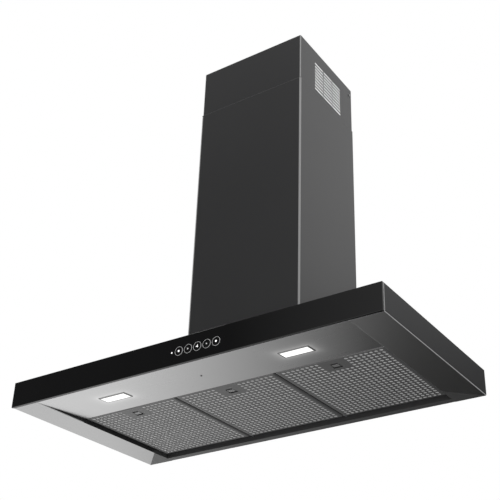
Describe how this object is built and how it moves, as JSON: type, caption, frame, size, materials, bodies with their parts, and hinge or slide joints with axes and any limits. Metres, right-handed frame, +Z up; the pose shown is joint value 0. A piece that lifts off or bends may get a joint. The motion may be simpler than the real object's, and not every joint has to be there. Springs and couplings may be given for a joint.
{
  "type": "chimney range hood",
  "caption": "Wall-mounted range hood: slim box canopy with glass front and perforated filters, blower inside, telescopic rectangular chimney.",
  "frame": {"origin": "middle of the canopy's back face, at the level of its underside", "axes": "+X to the right seen from the front, +Y into the wall, +Z up"},
  "size_m": [0.898, 0.4655, 0.935],
  "materials": {
    "satin_steel": "fine horizontal brushing, satin",
    "coated_steel": "dark satin coat",
    "zinc_steel": "galvanised, dull with faint spangle",
    "mesh_aluminium": "expanded mesh, dull",
    "black_glass": "polished, opaque black behind",
    "black_plastic": "fine moulded grain",
    "lens_plastic": "frosted",
    "foam_tape": "closed foam",
    "board_laminate": "solder mask, semi gloss",
    "motor_enamel": "baked enamel",
    "button_metal": "turned, satin",
    "indicator_plastic": "clear, diffusing"
  },
  "bodies": {
    "hood": {"canopy_shell": "coated_steel", "back_rail": "satin_steel", "front_glass": "black_glass", "glass_tape": "foam_tape", "lamp_panel": "satin_steel", "panel_stay": "zinc_steel", "canopy_screws": "coated_steel", "control_housing": "black_plastic", "control_board": "board_laminate", "button_rings": "button_metal", "indicator_led": "indicator_plastic", "hinge_rod": "zinc_steel", "rod_brackets": "zinc_steel", "blower_box": "zinc_steel", "motor": "motor_enamel", "motor_bracket": "zinc_steel", "capacitor": "mesh_aluminium", "duct_collar": "black_plastic", "flap_pins": "zinc_steel", "electronics_box": "black_plastic", "electronics_lid": "black_plastic", "cable_gland": "black_plastic", "lower_chimney_cover": "coated_steel", "cover_clips": "zinc_steel", "lamp_housing_left": "satin_steel", "lamp_lens_left": "lens_plastic", "lamp_housing_right": "satin_steel", "lamp_lens_right": "lens_plastic", "scroll_left": "black_plastic", "scroll_right": "black_plastic"},
    "chimney_top": {"upper_chimney_cover": "coated_steel", "upper_wall_bracket": "zinc_steel", "ear_screws": "zinc_steel"},
    "wheel": {"impeller": "black_plastic", "motor_shaft": "zinc_steel"},
    "damper_front": {"damper_flap_front": "black_plastic"},
    "damper_rear": {"damper_flap_rear": "black_plastic"},
    "push_1": {"button_1": "black_glass"},
    "push_2": {"button_2": "black_glass"},
    "push_3": {"button_3": "black_glass"},
    "push_4": {"button_4": "black_glass"},
    "push_5": {"button_5": "black_glass"},
    "filter_left": {"filter_tray_left": "satin_steel", "filter_core_left": "mesh_aluminium", "filter_back_left": "satin_steel", "filter_hooks_left": "satin_steel", "latch_guide_left": "satin_steel"},
    "latch_left": {"filter_latch_left": "satin_steel"},
    "filter_centre": {"filter_tray_centre": "satin_steel", "filter_core_centre": "mesh_aluminium", "filter_back_centre": "satin_steel", "filter_hooks_centre": "satin_steel", "latch_guide_centre": "satin_steel"},
    "latch_centre": {"filter_latch_centre": "satin_steel"},
    "filter_right": {"filter_tray_right": "satin_steel", "filter_core_right": "mesh_aluminium", "filter_back_right": "satin_steel", "filter_hooks_right": "satin_steel", "latch_guide_right": "satin_steel"},
    "latch_right": {"filter_latch_right": "satin_steel"}
  },
  "joints": [
    {"name": "chimney_height", "type": "slide", "parent": "hood", "child": "chimney_top", "axis": [0, 0, 1], "range_m": [-0.105, 0.265]},
    {"name": "wheel_spin", "type": "hinge", "parent": "hood", "child": "wheel", "pos_m": [0, -0.125, 0.17], "axis": [1, 0, 0], "continuous": true},
    {"name": "damper_front_swing", "type": "hinge", "parent": "hood", "child": "damper_front", "pos_m": [0, -0.13275, 0.356], "axis": [-1, 0, 0], "range_deg": [0, 80]},
    {"name": "damper_rear_swing", "type": "hinge", "parent": "hood", "child": "damper_rear", "pos_m": [0, -0.12475, 0.356], "axis": [1, 0, 0], "range_deg": [0, 80]},
    {"name": "press_1", "type": "slide", "parent": "hood", "child": "push_1", "axis": [0, 1, 0], "range_m": [0, 0.0012], "stiffness_N_per_m": 800, "springref_m": -0.0012},
    {"name": "press_2", "type": "slide", "parent": "hood", "child": "push_2", "axis": [0, 1, 0], "range_m": [0, 0.0012], "stiffness_N_per_m": 800, "springref_m": -0.0012},
    {"name": "press_3", "type": "slide", "parent": "hood", "child": "push_3", "axis": [0, 1, 0], "range_m": [0, 0.0012], "stiffness_N_per_m": 800, "springref_m": -0.0012},
    {"name": "press_4", "type": "slide", "parent": "hood", "child": "push_4", "axis": [0, 1, 0], "range_m": [0, 0.0012], "stiffness_N_per_m": 800, "springref_m": -0.0012},
    {"name": "press_5", "type": "slide", "parent": "hood", "child": "push_5", "axis": [0, 1, 0], "range_m": [0, 0.0012], "stiffness_N_per_m": 800, "springref_m": -0.0012},
    {"name": "filter_left_swing", "type": "hinge", "parent": "hood", "child": "filter_left", "pos_m": [-0.251, -0.0255, 0.01388], "axis": [1, 0, 0], "range_deg": [0, 75]},
    {"name": "latch_left_slide", "type": "slide", "parent": "filter_left", "child": "latch_left", "axis": [0, -1, 0], "range_m": [0, 0.005], "stiffness_N_per_m": 200, "springref_m": 0.01},
    {"name": "filter_centre_swing", "type": "hinge", "parent": "hood", "child": "filter_centre", "pos_m": [0, -0.0255, 0.01388], "axis": [1, 0, 0], "range_deg": [0, 75]},
    {"name": "latch_centre_slide", "type": "slide", "parent": "filter_centre", "child": "latch_centre", "axis": [0, -1, 0], "range_m": [0, 0.005], "stiffness_N_per_m": 200, "springref_m": 0.01},
    {"name": "filter_right_swing", "type": "hinge", "parent": "hood", "child": "filter_right", "pos_m": [0.251, -0.0255, 0.01388], "axis": [1, 0, 0], "range_deg": [0, 75]},
    {"name": "latch_right_slide", "type": "slide", "parent": "filter_right", "child": "latch_right", "axis": [0, -1, 0], "range_m": [0, 0.005], "stiffness_N_per_m": 200, "springref_m": 0.01}
  ]
}
